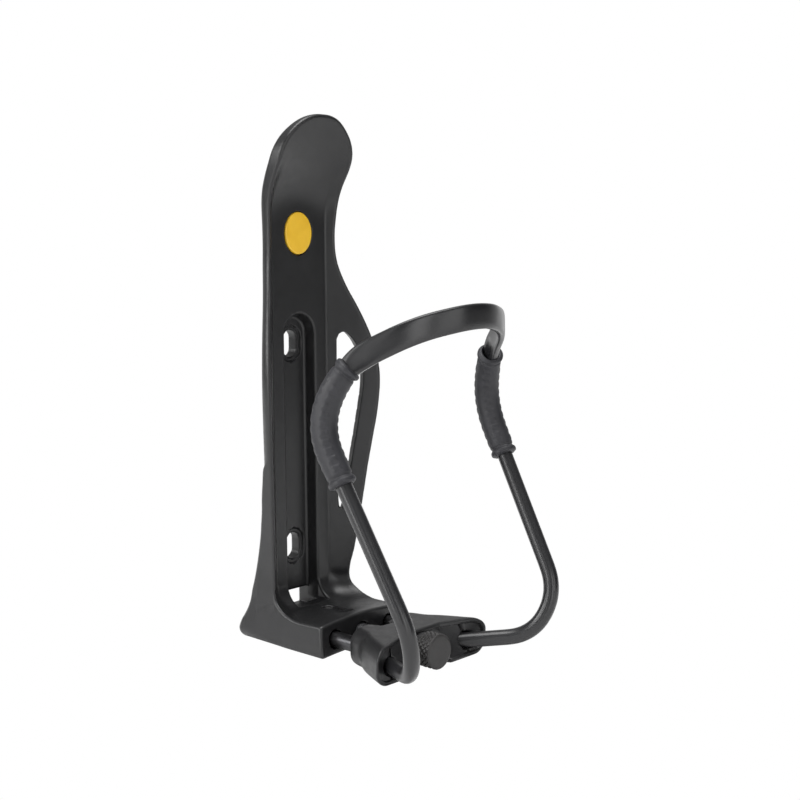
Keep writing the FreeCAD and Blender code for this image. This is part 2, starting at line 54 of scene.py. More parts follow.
def add_mesh(name, co, faces, normals=None, smooth=True):
    """Object from points in mm and an (n, 4) or (n, 3) face array."""
    me = bpy.data.meshes.new(name)
    faces = np.asarray(faces, np.int32)
    n, k = faces.shape
    me.vertices.add(len(co))
    me.vertices.foreach_set("co", to_row(co).astype(np.float32).ravel())
    me.loops.add(n * k)
    me.loops.foreach_set("vertex_index", faces.ravel())
    me.polygons.add(n)
    me.polygons.foreach_set("loop_start", np.arange(0, n * k, k, dtype=np.int32))
    me.polygons.foreach_set("loop_total", np.full(n, k, np.int32))
    me.polygons.foreach_set("use_smooth", np.full(n, smooth, bool))
    me.update(calc_edges=True)
    me.validate()
    if normals is not None:
        me.normals_split_custom_set_from_vertices([tuple(v) for v in normals])
    ob = bpy.data.objects.new(name, me)
    bpy.context.scene.collection.objects.link(ob)
    return ob


def join_parts(parts):
    """(co, faces) pairs with the same face size into one."""
    cos, fcs, off = [], [], 0
    for c, f in parts:
        cos.append(np.asarray(c, float))
        fcs.append(np.asarray(f, int) + off)
        off += len(c)
    return np.vstack(cos), np.vstack(fcs)


def catmull(pts, n=5):
    p = np.asarray(pts, float)
    out = []
    for i in range(len(p) - 1):
        p0, p1, p2, p3 = p[max(i - 1, 0)], p[i], p[i + 1], p[min(i + 2, len(p) - 1)]
        for j in range(n):
            t = j / n
            out.append(0.5 * ((2 * p1) + (p2 - p0) * t + (2 * p0 - 5 * p1 + 4 * p2 - p3) * t * t
                              + (3 * p1 - p0 - 3 * p2 + p3) * t ** 3))
    out.append(p[-1])
    return np.array(out)


def table(pts, sigma):
    """Smoothed lookup of (z, value) pairs."""
    p = np.asarray(pts, float)
    z = np.arange(p[0, 0] - 10, p[-1, 0] + 10, 0.1)
    v = np.interp(z, p[:, 0], p[:, 1])
    k = np.arange(-4 * sigma, 4 * sigma + 0.05, 0.1)
    g = np.exp(-0.5 * (k / sigma) ** 2)
    g /= g.sum()
    pad = len(k) // 2
    vv = np.convolve(np.pad(v, pad, mode="edge"), g, mode="valid")[:len(z)]
    return z, vv


def look(tab, z):
    return np.interp(z, tab[0], tab[1])


# ------------------------------------------- distance fields, in millimetres
def rmax(a, b, r):
    u, v = np.maximum(a + r, 0), np.maximum(b + r, 0)
    return np.minimum(-r, np.maximum(a, b)) + np.sqrt(u * u + v * v)


def rmin(a, b, r):
    u, v = np.maximum(r - a, 0), np.maximum(r - b, 0)
    return np.maximum(r, np.minimum(a, b)) - np.sqrt(u * u + v * v)


def smin(a, b, k):
    h = np.maximum(k - np.abs(a - b), 0) / k
    return np.minimum(a, b) - h * h * k * 0.25


def smax(a, b, k):
    return -smin(-a, -b, k)


def step(a, b, x):
    t = np.clip((x - a) / (b - a), 0, 1)
    return t * t * (3 - 2 * t)


def poly_sd(u, v, pts):
    pts = np.asarray(pts, float)
    u, v = np.broadcast_arrays(u, v)
    d = np.full(u.shape, 1e9)
    inside = np.zeros(u.shape, bool)
    n = len(pts)
    for i in range(n):
        (au, av), (bu, bv) = pts[i], pts[(i + 1) % n]
        eu, ev = bu - au, bv - av
        L = eu * eu + ev * ev
        if L < 1e-12:
            continue
        wu, wv = u - au, v - av
        t = np.clip((wu * eu + wv * ev) / L, 0, 1)
        d = np.minimum(d, (wu - eu * t) ** 2 + (wv - ev * t) ** 2)
        if abs(ev) > 1e-12:
            c = ((av <= v) & (bv > v)) | ((av > v) & (bv <= v))
            inside ^= c & (u < au + wv / ev * eu)
    return np.where(inside, -1.0, 1.0) * np.sqrt(d)


CORNERS = [(i, j, k) for i in (0, 1) for j in (0, 1) for k in (0, 1)]


def surface_nets(f, lo, h):
    """Closed quad mesh on the zero level of grid values f."""
    nx, ny, nz = f.shape
    s = f < 0
    cnt = np.zeros((nx - 1, ny - 1, nz - 1), np.uint8)
    for i, j, k in CORNERS:
        cnt += s[i:nx - 1 + i, j:ny - 1 + j, k:nz - 1 + k]
    act = np.argwhere((cnt > 0) & (cnt < 8))
    idx = np.full((nx - 1, ny - 1, nz - 1), -1, np.int32)
    idx[act[:, 0], act[:, 1], act[:, 2]] = np.arange(len(act))
    val = np.stack([f[act[:, 0] + i, act[:, 1] + j, act[:, 2] + k] for i, j, k in CORNERS], 1)
    acc = np.zeros((len(act), 3))
    num = np.zeros(len(act))
    for a in range(8):
        for b in range(a + 1, 8):
            ca, cb = np.array(CORNERS[a]), np.array(CORNERS[b])
            if np.abs(ca - cb).sum() != 1:
                continue
            va, vb = val[:, a], val[:, b]
            m = (va < 0) != (vb < 0)
            t = va[m] / (va[m] - vb[m])
            acc[m] += ca + t[:, None] * (cb - ca)
            num[m] += 1
    co = np.asarray(lo) + h * (act + acc / num[:, None])
    quads = []
    for ax in range(3):
        o1, o2 = [a for a in range(3) if a != ax]
        sl0 = [slice(None)] * 3
        sl1 = [slice(None)] * 3
        sl0[ax], sl1[ax] = slice(0, -1), slice(1, None)
        s0, s1 = s[tuple(sl0)], s[tuple(sl1)]
        e = np.argwhere(s0 != s1)
        e = e[(e[:, o1] > 0) & (e[:, o2] > 0) & (e[:, o1] < f.shape[o1] - 1) & (e[:, o2] < f.shape[o2] - 1)]
        q = []
        for d1, d2 in ((0, 0), (1, 0), (1, 1), (0, 1)):
            c = e.copy()
            c[:, o1] -= 1 - d1
            c[:, o2] -= 1 - d2
            q.append(idx[c[:, 0], c[:, 1], c[:, 2]])
        q = np.stack(q, 1)
        neg = s0[e[:, 0], e[:, 1], e[:, 2]]
        flip = neg if ax != 1 else ~neg
        q[~flip] = q[~flip][:, ::-1]
        quads.append(q)
    quads = np.vstack(quads)
    quads = quads[(quads >= 0).all(1)]
    return co, quads


def gradient(fun, p, e=0.06):
    g = np.zeros_like(p)
    for a in range(3):
        hi, lo = p.copy(), p.copy()
        hi[:, a] += e
        lo[:, a] -= e
        g[:, a] = (fun(hi[:, 0], hi[:, 1], hi[:, 2]) - fun(lo[:, 0], lo[:, 1], lo[:, 2])) / (2 * e)
    return g


def from_field(name, fun, lo, hi, h, mirror=False, steps=2):
    ax = [np.arange(lo[a], hi[a] + h, h) for a in range(3)]
    if mirror:
        half = np.arange(0, hi[0] + h, h)
        f = fun(half[:, None, None], ax[1][None, :, None], ax[2][None, None, :])
        f = np.concatenate([f[:0:-1], f], 0)
        x0 = -half[-1]
    else:
        f = fun(ax[0][:, None, None], ax[1][None, :, None], ax[2][None, None, :])
        x0 = lo[0]
    co, quads = surface_nets(np.asarray(f, float), (x0, lo[1], lo[2]), h)
    for _ in range(steps):
        g = gradient(fun, co)
        d = fun(co[:, 0], co[:, 1], co[:, 2])
        n2 = np.maximum((g * g).sum(1), 0.25)
        mv = -d[:, None] * g / n2[:, None]
        ln = np.linalg.norm(mv, axis=1)
        mv *= np.minimum(1, 0.45 * h / np.maximum(ln, 1e-9))[:, None]
        co = co + mv
    g = gradient(fun, co)
    g /= np.maximum(np.linalg.norm(g, axis=1), 1e-9)[:, None]
    print("field", name, len(co), "points", len(quads), "quads")
    return add_mesh(name, co, quads, g)


# ------------------------------------------------------------ the back plate
TRAY_Y, TRAY_HALF, LIP_X, LIP_Y, RAKE = -4.0, 11.2, 13.5, -6.9, 0.957
OUTLINE = [(-61.0, 18.3), (-56.0, 18.3), (-53.0, 18.0), (-50.0, 17.8), (-45.0, 17.6), (-40.0, 17.5), (-34.0, 17.7), (-26.0, 18.5),
           (-20.0, 19.3), (-12.4, 20.2), (-7.2, 20.8), (-2.0, 21.5), (3.2, 22.2), (8.3, 22.9), (13.4, 23.4),
           (18.5, 23.7), (23.6, 23.6), (28.7, 22.9), (33.8, 21.8), (38.8, 20.3), (43.9, 18.5),
           (48.9, 16.6), (53.9, 15.1), (58.0, 14.3), (62.0, 14.0), (66.3, 14.0), (71.1, 14.3),
           (75.9, 14.7), (80.7, 15.1), (85.4, 15.4), (90.0, 15.0), (94.0, 13.2), (97.3, 10.2),
           (99.6, 6.8), (100.7, 3.3), (100.9, 0.0), (100.7, -3.3)]
_o = catmull(OUTLINE, 4)
OUT_POLY = [(r, z) for z, r in _o] + [(-20.0, 100.0), (-20.0, -61.0)]
OPENING = [(13.7, 32.8), (14.2, 34.4), (15.2, 35.0), (16.4, 33.8), (17.7, 31.2), (18.7, 27.6),
           (19.3, 22.8), (19.3, 18.3), (18.8, 13.2), (18.2, 8.1), (17.6, 3.0), (16.9, -2.2),
           (16.6, -5.0), (15.8, -11.0), (15.1, -17.0), (14.8, -20.2), (14.3, -21.0), (13.8, -20.0), (13.65, -14.0), (13.65, 0.0), (13.65, 20.0)]
OPEN_POLY = catmull(OPENING + [OPENING[0]], 4)[:-1]
T_CENTRE = table([(60, -4.0), (70, -4.0), (74, -4.3), (78, -5.2), (82, -6.8), (86, -8.9), (90, -11.2),
                  (94, -13.3), (98, -15.2), (104, -18.0)], 1.6)
T_EDGE = table([(60, -6.8), (66, -6.8), (70, -7.2), (74, -7.8), (78, -9.0), (82, -10.7), (86, -12.3), (90, -13.8),
                (94, -15.1), (98, -16.2), (104, -18.2)], 1.6)
T_WALL = table([(-58.3, 6.2), (-56.0, 6.4), (-54.0, 6.0), (-52.0, 5.0), (-49.1, 3.3), (-46.3, 1.9), (-40.0, 0.2), (-34.0, -1.6), (-26.0, -4.1),
                (-17.6, -6.2), (-12.4, -7.0), (-3.6, -9.0), (-1.5, -11.5), (4.0, -20.0)], 0.8)
FLOOR_Z, FOOT_Z0, FOOT_FRONT = -49.2, -58.3, -29.7
POST_X, POST_Z, SCREW_Z = 11.7, -53.7, -54.0


def tray_y(A, Z):
    l1 = TRAY_Y + (LIP_Y - TRAY_Y) * (A - TRAY_HALF) / (LIP_X - TRAY_HALF)
    l2 = LIP_Y - RAKE * (A - LIP_X)
    soft = step(-40.0, -46.0, Z)
    y = smin(TRAY_Y + 0 * A, smax(l1, l2, 1.6 + 4.0 * soft), 0.5 + 2.5 * soft)
    s = step(68.0, 88.0, Z)
    yc, ye = look(T_CENTRE, Z), look(T_EDGE, Z)
    spoon = smax(yc + (ye - yc) * (A / 15.0) ** 2, ye - 3.0, 1.0)
    return (1 - s) * y + s * spoon


def plate(X, Y, Z):
    A = np.abs(X)
    yf = tray_y(A, Z)
    gx = (tray_y(A + 0.1, Z) - tray_y(A - 0.1, Z)) / 0.2
    gz = (tray_y(A, Z + 0.2) - tray_y(A, Z - 0.2)) / 0.4
    c = 1 / np.sqrt(1 + gx * gx + gz * gz)
    front = (yf - Y) * c
    s = step(68.0, 88.0, Z)
    t = (1 - s) * (3.0 + step(TRAY_HALF, LIP_X, A)) + s * (3.8 + 1.6 * (A / 15.0) ** 2)
    rear = (Y - yf - t) * c
    # lower walls behind the wings
    yw = look(T_WALL, Z)
    wall = rmax((Y - yw) * 0.95, 14.4 - A, 0.6)
    rear = rmin(rear, wall, 0.8)
    # spine carrying the channel, with its two bolting pads
    up = np.maximum(Z - 35.0, 0)
    spine = rmax(rmax(np.hypot(A, up) - 8.8, Y - 3.0, 0.8), -52.5 - Z, 0.5)
    rear = rmin(rear, spine, 0.6)
    for zc in (-32.0, 32.0):
        pad = rmax(np.hypot(A, np.maximum(np.abs(Z - zc) - 3.5, 0)) - 7.0, Y - SEAT, 0.5)
        rear = rmin(rear, pad, 0.4)
    rear = rmin(rear, rmax(Y - SEAT, Z + 52.0, 0.8), 0.8)
    rear = rmin(rear, rmax(rmax(Y - SEAT, Z + 44.5, 0.8), A - 9.0, 0.8), 0.8)
    # foot's floor, a little crowned along its front edge, filleted into the plate
    fz = FLOOR_Z + 1.3 * step(-20.0, -29.5, Y) * (1 - (A / 18.4) ** 2)
    floor = Z - fz
    skin = rmin(front, floor, 7.2)
    body = rmax(skin, rear, 0.5)
    side = poly_sd(A, Z, OUT_POLY)
    # the cheeks draw in along their front edges, and the foot flares towards its heel
    side = side + 1.3 * np.exp(-((Z + 42.5) / 6.0) ** 2) * np.clip((-2.0 - Y) / 7.0, 0, 1)
    side = side - 1.35 * step(-44.0, -55.0, Z) * step(-14.0, 2.0, Y)
    toe = 1.7 * np.clip((FLOOR_Z - Z) / 9.1, 0, 1) * np.clip(A / 17.7, 0, 1) ** 2
    side = rmax(side, FOOT_FRONT - toe - Y, 0.9)
    low = step(-42.0, -52.0, Z) * step(-16.0, 3.0, Y)
    body = rmax(body, side, 0.85 + 0.5 * step(-46.0, -38.0, Z) + 2.0 * low)
    body = rmax(body, FOOT_Z0 - Z, 0.9 + 2.6 * low)
    # underside pocket with bosses along the bores
    pock = rmax(rmax(A - 15.0, np.abs(Y + 15.8) - 9.8, 1.2), Z + 51.6, 0.8)
    boss = np.hypot(A - POST_X, Z - POST_Z) - 3.9
    boss2 = rmax(np.hypot(A, Z - SCREW_Z) - 4.3, Y + 12.5, 0.3)
    pock = rmax(pock, -np.minimum(boss, boss2), 0.5)
    body = rmax(body, -pock, 0.5)
    # channel
    w = 6.4 - 0.24 * np.clip(Y - TRAY_Y, 0, 4)
    ch = rmax(np.hypot(A, up) - w, Y, 0.7)
    ch = rmax(ch, -49.2 + 3.2 * step(-8.5, -11.5, Y) - Z, 0.5)
    body = rmax(body, -ch, 0.55)
    # window at the channel's foot
    win = rmax(rmax(A - 5.6, Z + 46.0, 0.3), -Z - 51.6, 0.3)
    win = np.maximum(win, -4.8 - Y)
    body = rmax(body, -win, 0.35)
    # frame bolt slots
    for zc in (-32.0, 32.0):
        slot = np.hypot(A, np.maximum(np.abs(Z - zc) - 1.5, 0)) - 2.7
        body = rmax(body, -np.maximum(slot, -3.0 - Y), 0.3)
        ring = np.maximum(np.hypot(A, np.maximum(np.abs(Z - zc) - 1.5, 0)) - 4.0, np.abs(Y + 2.0) - 2.6)
        body = rmax(body, -ring, 0.2)
    # openings in the wings, a little wider at the rear
    op = poly_sd(A, Z, OPEN_POLY) - 0.27 * np.clip(Y - yf, 0, 5) * step(13.9, 15.6, A)
    body = rmax(body, -op, 0.4)
    # recess for the badge
    el = (np.sqrt((X / 5.6) ** 2 + ((Z - 66.0) / 6.6) ** 2) - 1) * 6.0
    body = rmax(body, -np.maximum(el, Y + 3.0), 0.12)
    # guide bores, and the threaded insert's seat
    rad = np.hypot(A - POST_X, Z - POST_Z)
    bore = rad - 2.38 - 0.35 * step(-27.0, -27.4, Y)
    body = rmax(body, -np.maximum(bore, Y + 6.0), 0.3)
    rad = np.hypot(A, Z - SCREW_Z)
    body = rmax(body, -np.maximum(rad - 3.1, Y + 19.7), 0.3)
    body = rmax(body, -np.maximum(rad - 2.9, Y + 9.5), 0.2)
    # plain shallow recess in the floor
    rec = np.hypot(A, np.maximum(np.abs(Y + 19.0) - 3.6, 0)) - 2.3
    rec = np.maximum(np.maximum(rec, FLOOR_Z - 0.9 - Z), Z + 46.0)
    body = rmax(body, -rec, 0.25)
    return body


plate_ob = from_field("back_plate_moulding", plate, (-24.5, -31.5, -60.0), (24.5, 6.2, 102.5), 0.5, mirror=True)
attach(plate_ob, "frame_side")
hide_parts("back_plate")


# --------------------------------------------------------- the slider block
SOCKET = np.array([18.4, -60.1, -54.5])
RUN = np.array([26.8, -74.2, -52.4])
RUN_DIR = (RUN - SOCKET) / np.linalg.norm(RUN - SOCKET)
BLOCK_REAR, BLOCK_FRONT, BLOCK_Z0, BLOCK_Z1 = -38.0, -53.4, -59.8, -48.6
PANEL_Y = -52.8


def slider(X, Y, Z):
    A = np.abs(X)
    px, py, pz = A - SOCKET[0], Y - SOCKET[1], Z - SOCKET[2]
    al = px * RUN_DIR[0] + py * RUN_DIR[1] + pz * RUN_DIR[2]
    qx, qy, qz = px - al * RUN_DIR[0], py - al * RUN_DIR[1], pz - al * RUN_DIR[2]
    nx, ny = -RUN_DIR[1], RUN_DIR[0]
    across = (px * nx + py * ny) / math.hypot(nx, ny)
    zc = Z - (BLOCK_Z0 + BLOCK_Z1) / 2
    # splayed outer sides, rounded like barrels
    hh = 5.6
    side = (A - (14.1 + 0.48 * (BLOCK_REAR - Y))) * 0.90
    side = side + 0.7 * np.exp(-((Y - (BLOCK_REAR - 6.0)) / 2.8) ** 2)
    body = rmax(side, np.abs(zc) - hh, 4.3)
    body = rmax(body, Y - BLOCK_REAR, 1.3)
    # front: set back and leaning at the middle, forward at the arms' ends
    yt = BLOCK_FRONT - 0.36 * np.maximum(A - 8.4, 0)
    yb = -58.5 + 0 * A
    low = np.clip((BLOCK_Z1 - 1.0 - Z) / 9.4, 0, 1)
    lean = yt + (yb - yt) * low
    yf = BLOCK_FRONT + (lean - BLOCK_FRONT) * step(5.6, 8.6, A)
    fr = (yf - Y) * 0.93
    body = rmax(body, fr, 0.8)
    # panel sunk inside a rim that follows the outline
    rim = rmax(side, np.abs(zc) - hh, 4.3)
    pan = np.maximum(rim + 1.35, Y - (yf + 0.65))
    body = rmax(body, -pan, 0.3)
    # scooped dent in the rear of the top face
    dent = np.sqrt(X ** 2 + (Z - (BLOCK_Z1 + 12.6)) ** 2) - 14.0
    dent = rmax(dent, BLOCK_REAR - 4.6 - Y, 1.5)
    body = rmax(body, -dent, 0.5)
    # tube sockets with their pinch slots
    q = np.sqrt(qx * qx + qy * qy + qz * qz)
    sock = np.minimum(np.maximum(q - 2.32, -al - 11.0), np.maximum(q - 2.75, -al - 5.0))
    slot = np.maximum(np.maximum(np.abs(across) - 0.45, np.abs(zc) - 4.1), -al - 6.0)
    body = rmax(body, -np.minimum(sock, slot), 0.3)
    # post seats, screw hole, retaining clip's pocket
    rad = np.hypot(A - POST_X, Z - POST_Z)
    body = rmax(body, -np.maximum(rad - 2.31, BLOCK_REAR - 5.5 - Y), 0.35)
    rad = np.hypot(A, Z - SCREW_Z)
    body = rmax(body, -(rad - 2.75), 0.3)
    body = rmax(body, -np.maximum(rad - 4.6, BLOCK_REAR - 3.4 - Y), 0.3)
    return body


slider_ob = from_field("slider_block_moulding", slider, (-25.5, -60.5, -61.0), (25.5, -36.5, -47.0), 0.3, mirror=True)
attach(slider_ob, "slider")
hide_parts("slider_block")


# -------------------------------------------------------------- swept pieces
TUBE_R = 2.3
TUBE_END = SOCKET - RUN_DIR * 11.0
LEG = [TUBE_END, RUN, (32.0, -78.5, -39.2), (35.6, -48.35, 14.3), (30.8, -54.1, 30.8), (18.7, -69.0, 40.1), (0.0, -77.2, 43.95)]
RAD = [12.72, 15.2, 17.61, 23.57, 28.0, 20.16]


def run_path():
    """Runs joined by tangent arcs, sampled evenly: points from end to end."""
    right = [np.array(p, float) for p in LEG]
    vs = right + [p * (-1, 1, 1) for p in right[:-1]][::-1]
    rad = RAD + RAD[:-1][::-1]
    pts = [vs[0]]
    for i in range(1, len(vs) - 1):
        a, b = vs[i - 1] - vs[i], vs[i + 1] - vs[i]
        la, lb = np.linalg.norm(a), np.linalg.norm(b)
        a, b = a / la, b / lb
        turn = math.pi - math.acos(np.clip(a @ b, -1, 1))
        t = min(rad[i - 1] * math.tan(turn / 2), 0.47 * la, 0.47 * lb)
        r = t / math.tan(turn / 2)
        bis = (a + b) / np.linalg.norm(a + b)
        cen = vs[i] + bis * (r / math.cos(turn / 2))
        u = vs[i] + a * t - cen
        w = vs[i] + b * t - cen
        ang = math.acos(np.clip(u @ w / (r * r), -1, 1))
        m = max(8, int(r * ang / 0.4))
        for k in range(m + 1):
            f = k / m
            pts.append(cen + (u * math.sin((1 - f) * ang) + w * math.sin(f * ang)) / math.sin(ang))
    pts.append(vs[-1])
    pts = np.array(pts)
    d = np.r_[0, np.cumsum(np.linalg.norm(np.diff(pts, axis=0), axis=1))]
    keep = np.r_[True, np.diff(d) > 1e-6]
    pts, d = pts[keep], d[keep]
    n = int(d[-1] / 0.4)
    s = np.linspace(0, d[-1], n)
    q = np.stack([np.interp(s, d, pts[:, a]) for a in range(3)], 1)
    # even out the change of curvature where an arc meets a run
    for _ in range(30):
        q[1:-1] += 0.25 * (q[:-2] + q[2:] - 2 * q[1:-1])
    s = np.r_[0, np.cumsum(np.linalg.norm(np.diff(q, axis=0), axis=1))]
    return q, s


PATH, PATH_S = run_path()
PATH_L = PATH_S[-1]


def frames(s):
    """Points, tangents, outward and upward directions at distances s."""
    p = np.stack([np.interp(s, PATH_S, PATH[:, a]) for a in range(3)], 1)
    e = 0.8
    lo = np.stack([np.interp(np.clip(s - e, 0, PATH_L), PATH_S, PATH[:, a]) for a in range(3)], 1)
    hi = np.stack([np.interp(np.clip(s + e, 0, PATH_L), PATH_S, PATH[:, a]) for a in range(3)], 1)
    t = hi - lo
    t /= np.linalg.norm(t, axis=1)[:, None]
    # away from the middle of the held bottle
    ref = p - np.array([0.0, -46.0, 0.0])
    ref[:, 2] = 0
    o = ref - t * (ref * t).sum(1)[:, None]
    o /= np.linalg.norm(o, axis=1)[:, None]
    for _ in range(12):
        o[1:-1] = (o[:-2] + 2 * o[1:-1] + o[2:]) / 4
        o -= t * (o * t).sum(1)[:, None]
        o /= np.linalg.norm(o, axis=1)[:, None]
    u = np.cross(t, o)
    u *= np.where((u[:, 2:3] < 0), -1.0, 1.0) if False else 1.0
    return p, t, o, u


def s_near(q):
    return PATH_S[np.argmin(np.linalg.norm(PATH - np.array(q), axis=1))]


def sweep(name, s, m, radius, caps=True):
    """radius(s array, angle array) -> (out offset, up offset) grids."""
    p, t, o, u = frames(s)
    th = np.linspace(0, 2 * math.pi, m, endpoint=False)
    ro, ru = radius(s[:, None], th[None, :])
    co = p[:, None, :] + ro[:, :, None] * o[:, None, :] + ru[:, :, None] * u[:, None, :]
    n = len(s)
    co = co.reshape(-1, 3)
    i = np.arange(n - 1)[:, None]
    j = np.arange(m)[None, :]
    jn = (j + 1) % m
    f = np.stack([i * m + j, i * m + jn, (i + 1) * m + jn, (i + 1) * m + j], -1).reshape(-1, 4)
    parts = [(co, f)]
    if caps:
        k = m // 4
        for end in (0, n - 1):
            ring = co[end * m:(end + 1) * m]
            c = ring.mean(0)
            pts = np.vstack([ring, (ring * 0.5 + c * 0.5), c[None]])
            q = []
            for a in range(m):
                b = (a + 1) % m
                q.append((a, b, m + b, m + a))
            for a in range(0, m, 2):
                q.append((m + a, m + (a + 1) % m, m + (a + 2) % m, 2 * m))
            q = np.array(q)
            if end == n - 1:
                q = q[:, ::-1]
            parts.append((pts, q[:, ::-1]))
    co, f = join_parts(parts)
    return co, f


def merged(name, co, f, angle=None):
    ob = add_mesh(name, co, f)
    import bmesh
    bm = bmesh.new()
    bm.from_mesh(ob.data)
    bmesh.ops.remove_doubles(bm, verts=bm.verts, dist=2e-6)
    bmesh.ops.recalc_face_normals(bm, faces=bm.faces)
    if angle:
        for e in bm.edges:
            if len(e.link_faces) == 2 and e.calc_face_angle(0) > math.radians(angle):
                e.smooth = False
    bm.to_mesh(ob.data)
    bm.free()
    return ob


S_SLEEVE0 = s_near((34.7, -56.9, -0.6))
S_SLEEVE1 = s_near((30.5, -55.1, 29.0))
S_FLAT = S_SLEEVE1 + 1.0


def flat_amount(s):
    d = np.minimum(s, PATH_L - s)
    return step(S_FLAT - 7.5, S_FLAT + 5.0, d)


def tube_radius(s, th):
    e = flat_amount(s)
    ht = TUBE_R + (1.2 - TUBE_R) * e
    hh = TUBE_R + (3.5 - TUBE_R) * e
    # from a circle to a strap with round edges
    pw = 1.0 - 0.62 * e
    c, sn = np.cos(th), np.sin(th)
    ox = np.sign(c) * np.abs(c) ** pw * ht
    oz = np.sign(sn) * np.abs(sn) ** (1.0 - 0.45 * e) * hh
    # lengthwise dent on the inside where the round tube starts to flatten
    d = np.minimum(s, PATH_L - s)
    dent = np.exp(-((d - (S_FLAT + 2.5)) / 3.4) ** 4)
    ox = ox + 0.85 * dent * (c < 0) * np.exp(-(oz / 1.1) ** 2)
    return ox, oz


def make_tube():
    ns = 700
    s = np.linspace(0, PATH_L, ns)
    co, f = sweep("tube", s, 48, tube_radius)
    return merged("cage_tube_bent", co, f)


tube_ob = make_tube()
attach(tube_ob, "slider")
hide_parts("cage_tube")


def bump(x, w):
    return np.exp(-(x / w) ** 4)


def sleeve_radius(s0, s1):
    def fun(s, th):
        a, b = s - s0, s1 - s                   # from the lower and upper ends
        r = 3.52 + 0 * th
        # swell towards the middle of the bend
        r = r + 0.12 * np.sin(np.pi * np.clip(a / (s1 - s0), 0, 1))
        # collars with a groove behind each
        for q in (a, b):
            qq = q - 1.0
            r = r + 0.36 * bump(qq, 0.75)
            r = r - 0.30 * np.exp(-((q - 2.35) / 0.42) ** 2)
            r = r - 0.45 * np.exp(-(q / 0.25) ** 2)
        # rows of plain raised pads on the two flanks of the sleeve
        L = s1 - s0
        n = int((L - 11.0) / 2.6)
        for row, (ang, off) in enumerate(((0.62, 0.0), (-0.62, 0.5), (2.3, 0.5), (-2.3, 0.0))):
            ph = (a - 6.0) / 2.6 + off
            k = np.round(ph)
            on = ((k >= 0) & (k <= n)).astype(float)
            ds = (ph - k) * 2.6
            da = np.angle(np.exp(1j * (th - ang))) * 3.6
            r = r + 0.13 * on * np.exp(-((ds / 0.78) ** 6 + (da / 1.25) ** 6))
        return r * np.cos(th), r * np.sin(th)
    return fun


def make_sleeve(side):
    s0, s1 = S_SLEEVE0 - 0.6, S_SLEEVE1 + 1.1
    s, m = np.linspace(s0, s1, 300), 144
    co, f = sweep("sleeve", s, m, sleeve_radius(s0, s1), caps=False)
    # end faces and the bore
    n = len(s)
    inner, fi = sweep("bore", s[[0, 1, n // 2, n - 2, n - 1]] if False else np.linspace(s0, s1, 40), m,
                      lambda ss, th: ((2.28 + 1.25 * flat_amount(ss) * 0.2) * np.cos(th), (2.28 + 1.25 * flat_amount(ss)) * np.sin(th)), caps=False)
    off = len(co)
    rings = []
    j = np.arange(m)
    jn = (j + 1) % m
    ni = 40
    rings.append(np.stack([j, jn, off + jn, off + j], -1))
    e0, e1 = (n - 1) * m, off + (ni - 1) * m
    rings.append(np.stack([e0 + j, e0 + jn, e1 + jn, e1 + j], -1)[:, ::-1])
    co = np.vstack([co, inner])
    f = np.vstack([f, fi[:, ::-1] + off] + rings)
    if side == "left":
        co = co * np.array([-1, 1, 1])
        f = f[:, ::-1]
    ob = merged("grip_sleeve_%s_moulded" % side, co, f)
    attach(ob, "slider")
    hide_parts("grip_sleeve_%s" % side)
    return ob


sleeves = [make_sleeve("left"), make_sleeve("right")]


# ------------------------------------------------------------- turned pieces
def lathe(profile, m=96, shape=None):
    """profile: (y, r) pairs, open or closed, about the axis x = 0, z = cz."""
    pr = np.asarray(profile, float)
    n = len(pr)
    th = np.linspace(0, 2 * math.pi, m, endpoint=False)
    Y = np.repeat(pr[:, 0][:, None], m, 1)
    R = np.repeat(pr[:, 1][:, None], m, 1)
    if shape is not None:
        Y, R = shape(Y, R, th[None, :])
    co = np.stack([R * np.cos(th), Y, R * np.sin(th)], -1).reshape(-1, 3)
    i = np.arange(n - 1)[:, None]
    j = np.arange(m)[None, :]
    jn = (j + 1) % m
    f = np.stack([i * m + j, (i + 1) * m + j, (i + 1) * m + jn, i * m + jn], -1).reshape(-1, 4)
    return co, f


def turned(name, profile, at, m=96, shape=None, angle=38):
    co, f = lathe(profile, m, shape)
    co = co + np.array([at[0], 0, at[1]])
    ob = merged(name, co, f, angle)
    return ob


def dense(profile, h):
    out = []
    p = np.asarray(profile, float)
    for a, b in zip(p, p[1:]):
        k = max(1, int(np.ceil(np.linalg.norm(b - a) / h)))
        for i in range(k):
            out.append(a + (b - a) * i / k)
    out.append(p[-1])
    return np.array(out)


def arc_pts(cy, cr, r, a0, a1, n=6):
    return [(cy + r * math.cos(math.radians(a0 + (a1 - a0) * i / n)), cr + r * math.sin(math.radians(a0 + (a1 - a0) * i / n)))
            for i in range(n + 1)]


KNOB_R, KNOB_BACK, KNOB_FRONT = 5.2, -55.4, -60.9


def knob_shape(Y, R, th):
    # two crossing helical cuts leave small diamonds
    on = step(KNOB_FRONT + 0.45, KNOB_FRONT + 0.8, Y) * step(KNOB_BACK - 0.25, KNOB_BACK - 0.55, Y) * (R > 4.9)
    k = 2 * math.pi / 1.15
    u = (th * KNOB_R + (Y - KNOB_BACK)) * k / math.sqrt(2) * 1.0
    n = 20
    a = th * n + (Y - KNOB_BACK) * 3.6
    b = th * n - (Y - KNOB_BACK) * 3.6
    v = np.minimum(np.abs(np.sin(a / 2 * 1.0)), np.abs(np.sin(b / 2 * 1.0)))
    cut = 0.40 * (1 - np.clip(v * 1.5, 0, 1))
    return Y, R - on * cut


